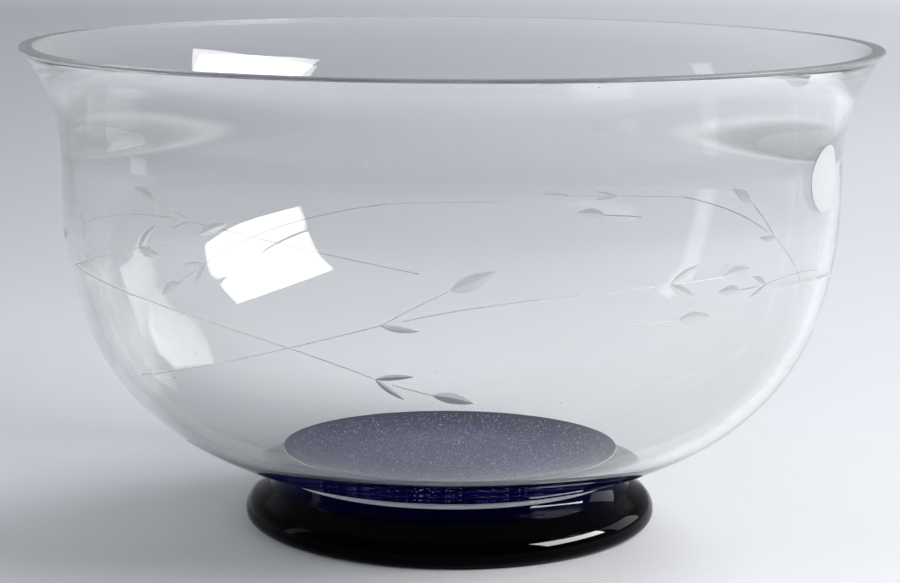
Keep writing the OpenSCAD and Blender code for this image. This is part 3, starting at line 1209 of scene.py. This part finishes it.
def room(look):
    """Dim room, lighter overhead and where the table's far end runs into its wall, and dark in front."""
    world = bpy.data.worlds.new("room")
    world.use_nodes = True
    tree = world.node_tree
    shader = tree.nodes["Background"]
    shader.inputs["Color"].default_value = tuple(look.sky)
    place = place_parts(tree, "Generated")
    rise = tree.nodes.new("ShaderNodeFloatCurve")
    marks = rise.mapping.curves[0].points
    marks[0].location = (0.0, look.sky_level)
    marks[1].location = (1.0, look.sky_high)
    marks.new(ROOM_LOW, look.sky_low)
    marks.new(ROOM_MIDDLE, look.sky_middle)
    rise.mapping.update()
    tree.links.new(place["Z"], rise.inputs["Value"])
    behind = tree.nodes.new("ShaderNodeMapRange")
    behind.inputs["From Min"].default_value = ROOM_FRONT
    behind.inputs["From Max"].default_value = ROOM_REAR
    behind.inputs["To Min"].default_value = look.sky_front
    tree.links.new(place["Y"], behind.inputs["Value"])
    strength = joined(tree, "MULTIPLY", rise.outputs["Value"], behind.outputs["Result"])
    tree.links.new(strength, shader.inputs["Strength"])
    return world


def photo_camera(look):
    """Camera at the photo's place, with its lens and its tilt."""
    camera = bpy.data.cameras.new("photo_camera")
    camera.sensor_width = 36.0
    camera.lens = look.lens
    camera.clip_start = 0.01
    view = bpy.data.objects.new("photo_camera", camera)
    view.matrix_world = (
        Matrix.Translation((0.0, -look.camera_back, look.camera_height))
        @ Matrix.Rotation(look.yaw, 4, "Z")
        @ Matrix.Rotation(QUARTER - look.pitch, 4, "X")
        @ Matrix.Rotation(look.roll, 4, "Z")
    )
    bpy.context.scene.collection.objects.link(view)
    return view


class BOWL_OT_set_stage(bpy.types.Operator):
    """Lay the pale table, set the soft lights and place the camera"""

    bl_idname = "footed_bowl.set_stage"
    bl_label = "Set Stage"

    def execute(self, context):
        scene, look = context.scene, context.scene.studio_look
        corners = [(x * TABLE_REACH, y * TABLE_REACH, 0.0) for x, y in ((-1, -1), (1, -1), (1, 1), (-1, 1))]
        mesh = bpy.data.meshes.new("table")
        mesh.from_pydata(corners, [], [(0, 1, 2, 3)])
        mesh.materials.append(table_top(look.floor, look.far_glow))
        table = bpy.data.objects.new("table", mesh)
        scene.collection.objects.link(table)
        scene.world = room(look)
        set_lights(look)
        scene.camera = photo_camera(look)
        scene.view_settings.view_transform = "Standard"
        scene.cycles.max_bounces = 48
        scene.cycles.transmission_bounces = 48
        scene.cycles.glossy_bounces = 32
        return {"FINISHED"}


class BOWL_PT_panel(bpy.types.Panel):
    """Steps that build the bowl"""

    bl_label = "Footed Glass Bowl"
    bl_idname = "BOWL_PT_panel"
    bl_space_type = "VIEW_3D"
    bl_region_type = "UI"
    bl_category = "Bowl"

    def draw(self, context):
        for operator in OPERATORS:
            self.layout.operator(operator.bl_idname)


OPERATORS = (
    BOWL_OT_make_bowl,
    BOWL_OT_make_seeds,
    BOWL_OT_make_foot,
    BOWL_OT_finish_label,
    BOWL_OT_set_stage,
)
GROUPS = {
    "bowl_sizes": BowlSizes,
    "spray_sizes": SpraySizes,
    "seed_sizes": SeedSizes,
    "foot_sizes": FootSizes,
    "glass_look": GlassLook,
    "studio_look": StudioLook,
}


def register():
    """Registers the classes and gives the scene its property groups."""
    for kind in (*GROUPS.values(), *OPERATORS, BOWL_PT_panel):
        bpy.utils.register_class(kind)
    for name, kind in GROUPS.items():
        setattr(bpy.types.Scene, name, PointerProperty(type=kind))


def unregister():
    """Takes the property groups and the classes away again."""
    for name in GROUPS:
        delattr(bpy.types.Scene, name)
    for kind in reversed((*GROUPS.values(), *OPERATORS, BOWL_PT_panel)):
        bpy.utils.unregister_class(kind)


def main():
    register()
    bpy.ops.footed_bowl.make_bowl()
    bpy.ops.footed_bowl.make_seeds()
    bpy.ops.footed_bowl.make_foot()
    bpy.ops.footed_bowl.finish_label()
    bpy.ops.footed_bowl.set_stage()


if __name__ == "__main__":
    main()
